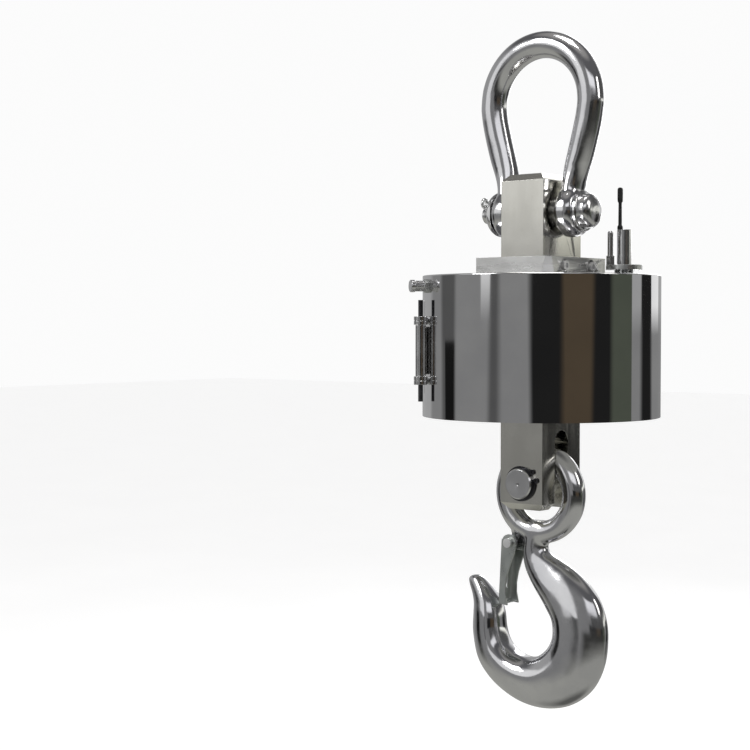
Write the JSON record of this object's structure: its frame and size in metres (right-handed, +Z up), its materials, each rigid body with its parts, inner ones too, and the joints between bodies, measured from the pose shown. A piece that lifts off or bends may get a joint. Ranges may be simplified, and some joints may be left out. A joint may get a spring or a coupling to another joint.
{
  "type": "crane scale",
  "caption": "Hanging crane scale: bow shackle above a block load cell, a round polished electronics drum with a battery door and antenna, and an eye hook with a spring latch below.",
  "frame": {"origin": "inside of the shackle's crown, where the crane's hook bears", "axes": "+Z up along the line of load, +X along the shackle pin towards its head, -Y the front"},
  "size_m": [0.2587, 0.25, 0.7146],
  "materials": {
    "forged_bright": "polished forged steel, bright plated",
    "pin_steel": "turned and polished",
    "zinc_steel": "zinc plated",
    "cell_steel": "ground satin alloy steel, nickel plated",
    "collar_steel": "milled satin",
    "bolt_steel": "bright stainless",
    "drum_mirror": "mirror polished stainless sheet",
    "black_rubber": "matte",
    "dark_steel": "blackened",
    "antenna_black": "satin black",
    "gauge_foil": "foil on film",
    "board_green": "solder mask",
    "board_blue": "solder mask",
    "chip_black": "moulded",
    "standoff_brass": "turned",
    "battery_case": "moulded",
    "lead_red": "insulated wire",
    "spring_steel": "drawn wire",
    "latch_zinc": "zinc plated sheet",
    "knob_plastic": "moulded"
  },
  "bodies": {
    "shackle": {"shackle_bow": "forged_bright", "shackle_bolt": "pin_steel", "shackle_nut": "pin_steel", "cotter_pin": "zinc_steel"},
    "scale_body": {"load_cell_block": "cell_steel", "clamp_collar": "collar_steel", "collar_bolts": "bolt_steel", "collar_washers": "zinc_steel", "drum_shell": "drum_mirror", "flange_ring": "cell_steel", "bottom_cover": "drum_mirror", "cover_gasket": "black_rubber", "cover_bolts": "bolt_steel", "block_seal": "black_rubber", "door_frame": "cell_steel", "door_seal": "black_rubber", "hinge_collars": "pin_steel", "hinge_pin": "dark_steel", "charge_socket": "zinc_steel", "charge_cap": "pin_steel", "lower_pin": "pin_steel", "circlips": "dark_steel", "antenna_base": "zinc_steel", "antenna_nut": "zinc_steel", "guard_tube": "pin_steel", "guard_rod": "pin_steel", "guard_nut": "pin_steel", "antenna_whip": "antenna_black", "gauge_covers": "zinc_steel", "strain_gauges": "gauge_foil", "main_board": "board_green", "board_parts": "chip_black", "radio_board": "board_blue", "board_standoffs": "standoff_brass", "board_screws": "bolt_steel", "battery": "battery_case", "battery_terminals": "standoff_brass", "battery_tray": "zinc_steel", "cell_cable": "black_rubber", "antenna_coax": "black_rubber", "battery_lead": "lead_red"},
    "hook": {"hook": "forged_bright", "latch_bolt": "bolt_steel", "latch_spring": "spring_steel"},
    "latch": {"latch": "latch_zinc"},
    "battery_door": {"door_panel": "drum_mirror", "door_leaf": "pin_steel", "door_rivets": "bolt_steel"},
    "door_lock": {"door_knob": "knob_plastic", "door_cam": "zinc_steel"}
  },
  "joints": [
    {"name": "shackle_swing", "type": "hinge", "parent": "shackle", "child": "scale_body", "pos_m": [0, 0, -0.162], "axis": [1, 0, 0], "range_deg": [-90, 90]},
    {"name": "hook_swing", "type": "hinge", "parent": "scale_body", "child": "hook", "pos_m": [0, 0, -0.445], "axis": [0, 1, 0], "range_deg": [-45, 45]},
    {"name": "latch_pivot", "type": "hinge", "parent": "hook", "child": "latch", "pos_m": [-0.0323, 0, -0.5125], "axis": [0, -1, 0], "range_deg": [0, 30], "stiffness_Nm_per_rad": 0.3, "springref_deg": -17.19},
    {"name": "door_hinge", "type": "hinge", "parent": "scale_body", "child": "battery_door", "pos_m": [-0.07723, -0.10828, -0.3065], "axis": [0, 0, 1], "range_deg": [0, 100]},
    {"name": "knob_turn", "type": "hinge", "parent": "battery_door", "child": "door_lock", "pos_m": [-0.12249, 0.02492, -0.303], "axis": [-0.9799, 0.1994, 0], "range_deg": [0, 90]}
  ]
}
